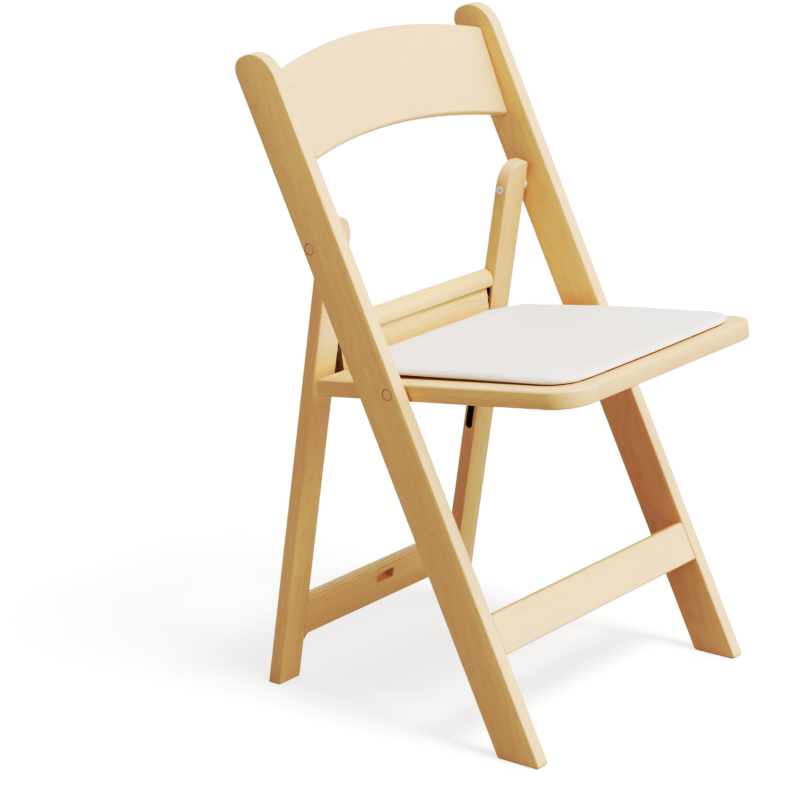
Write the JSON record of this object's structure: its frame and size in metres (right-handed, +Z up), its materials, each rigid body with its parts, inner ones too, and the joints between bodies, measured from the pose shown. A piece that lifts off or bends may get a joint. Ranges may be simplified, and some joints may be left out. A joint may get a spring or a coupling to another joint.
{
  "type": "folding chair",
  "caption": "Wooden folding chair with leaning uprights, bowed back panel, padded seat that lifts to fold and a slotted rear leg frame.",
  "frame": {"origin": "on the floor, under the middle of the bounding box", "axes": "+Z up, -Y is the front of the chair, +X is the sitter's left"},
  "size_m": [0.4312, 0.4682, 0.7891],
  "materials": {
    "wood_beech": "light beech, clear satin lacquer",
    "wood_dowel": "beech dowel, end grain a little darker",
    "plywood": "birch plywood, lacquered",
    "board_black": "thin board under a dark dust cloth",
    "vinyl_ivory": "ivory vinyl over foam, fine grain, satin",
    "steel": "zinc-plated steel, satin",
    "nylon": "natural nylon spacer"
  },
  "bodies": {
    "front_frame": {"backrest_panel": "wood_beech", "front_stretcher": "wood_beech", "front_stretcher_dowel_1_left": "wood_dowel", "front_stretcher_dowel_1_right": "wood_dowel", "front_stretcher_dowel_2_left": "wood_dowel", "front_stretcher_dowel_2_right": "wood_dowel", "front_upright_left": "wood_beech", "front_upright_right": "wood_beech", "seat_pivot_bolt_left": "steel", "seat_pivot_bolt_right": "steel", "seat_pivot_plug_left": "wood_dowel", "seat_pivot_plug_right": "wood_dowel", "seat_pivot_spacer_left": "nylon", "seat_pivot_spacer_right": "nylon", "upper_pivot_bolt_left": "steel", "upper_pivot_bolt_right": "steel", "upper_pivot_nut_left": "steel", "upper_pivot_nut_right": "steel", "upper_pivot_plug_left": "wood_dowel", "upper_pivot_plug_right": "wood_dowel", "upper_pivot_spacer_left": "nylon", "upper_pivot_spacer_right": "nylon"},
    "rear_frame": {"rear_leg_left": "wood_beech", "rear_leg_right": "wood_beech", "rear_stretcher": "wood_beech", "rear_stretcher_dowel_1_left": "wood_dowel", "rear_stretcher_dowel_1_right": "wood_dowel", "rear_stretcher_dowel_2_left": "wood_dowel", "rear_stretcher_dowel_2_right": "wood_dowel", "rear_top_rail": "wood_beech", "rear_top_rail_dowel_1_left": "wood_dowel", "rear_top_rail_dowel_1_right": "wood_dowel"},
    "slide_pins": {"slide_pin_left": "steel", "slide_pin_right": "steel"},
    "seat": {"cushion_board": "board_black", "cushion_screw_1": "steel", "cushion_screw_2": "steel", "cushion_screw_3": "steel", "cushion_screw_4": "steel", "seat_back_rail": "wood_beech", "seat_back_rail_dowel_1_left": "wood_dowel", "seat_back_rail_dowel_1_right": "wood_dowel", "seat_cushion": "vinyl_ivory", "seat_front_rail": "wood_beech", "seat_front_rail_dowel_1_left": "wood_dowel", "seat_front_rail_dowel_1_right": "wood_dowel", "seat_front_rail_dowel_2_left": "wood_dowel", "seat_front_rail_dowel_2_right": "wood_dowel", "seat_panel": "plywood", "seat_side_rail_left": "wood_beech", "seat_side_rail_right": "wood_beech", "seat_stop_rail": "wood_beech", "stop_rail_screw_1": "steel", "stop_rail_screw_2": "steel", "stop_rail_screw_3": "steel"}
  },
  "joints": [
    {"name": "seat_fold", "type": "hinge", "parent": "front_frame", "child": "seat", "pos_m": [0, 0.0111, 0.41279], "axis": [-1, 0, 0], "range_deg": [0, 108.67]},
    {"name": "rear_frame_fold", "type": "hinge", "parent": "front_frame", "child": "rear_frame", "pos_m": [0, 0.12024, 0.56935], "axis": [-1, 0, 0], "range_deg": [0, 35.72]},
    {"name": "pins_slide", "type": "slide", "parent": "rear_frame", "child": "slide_pins", "axis": [0, 0.1805, -0.9836], "range_m": [0, 0.17765]}
  ],
  "couplings": [
    {"joint": "rear_frame_fold", "follows": "seat_fold", "ratio": 0.3287},
    {"joint": "pins_slide", "follows": "seat_fold", "m_per_rad": 0.09364}
  ]
}
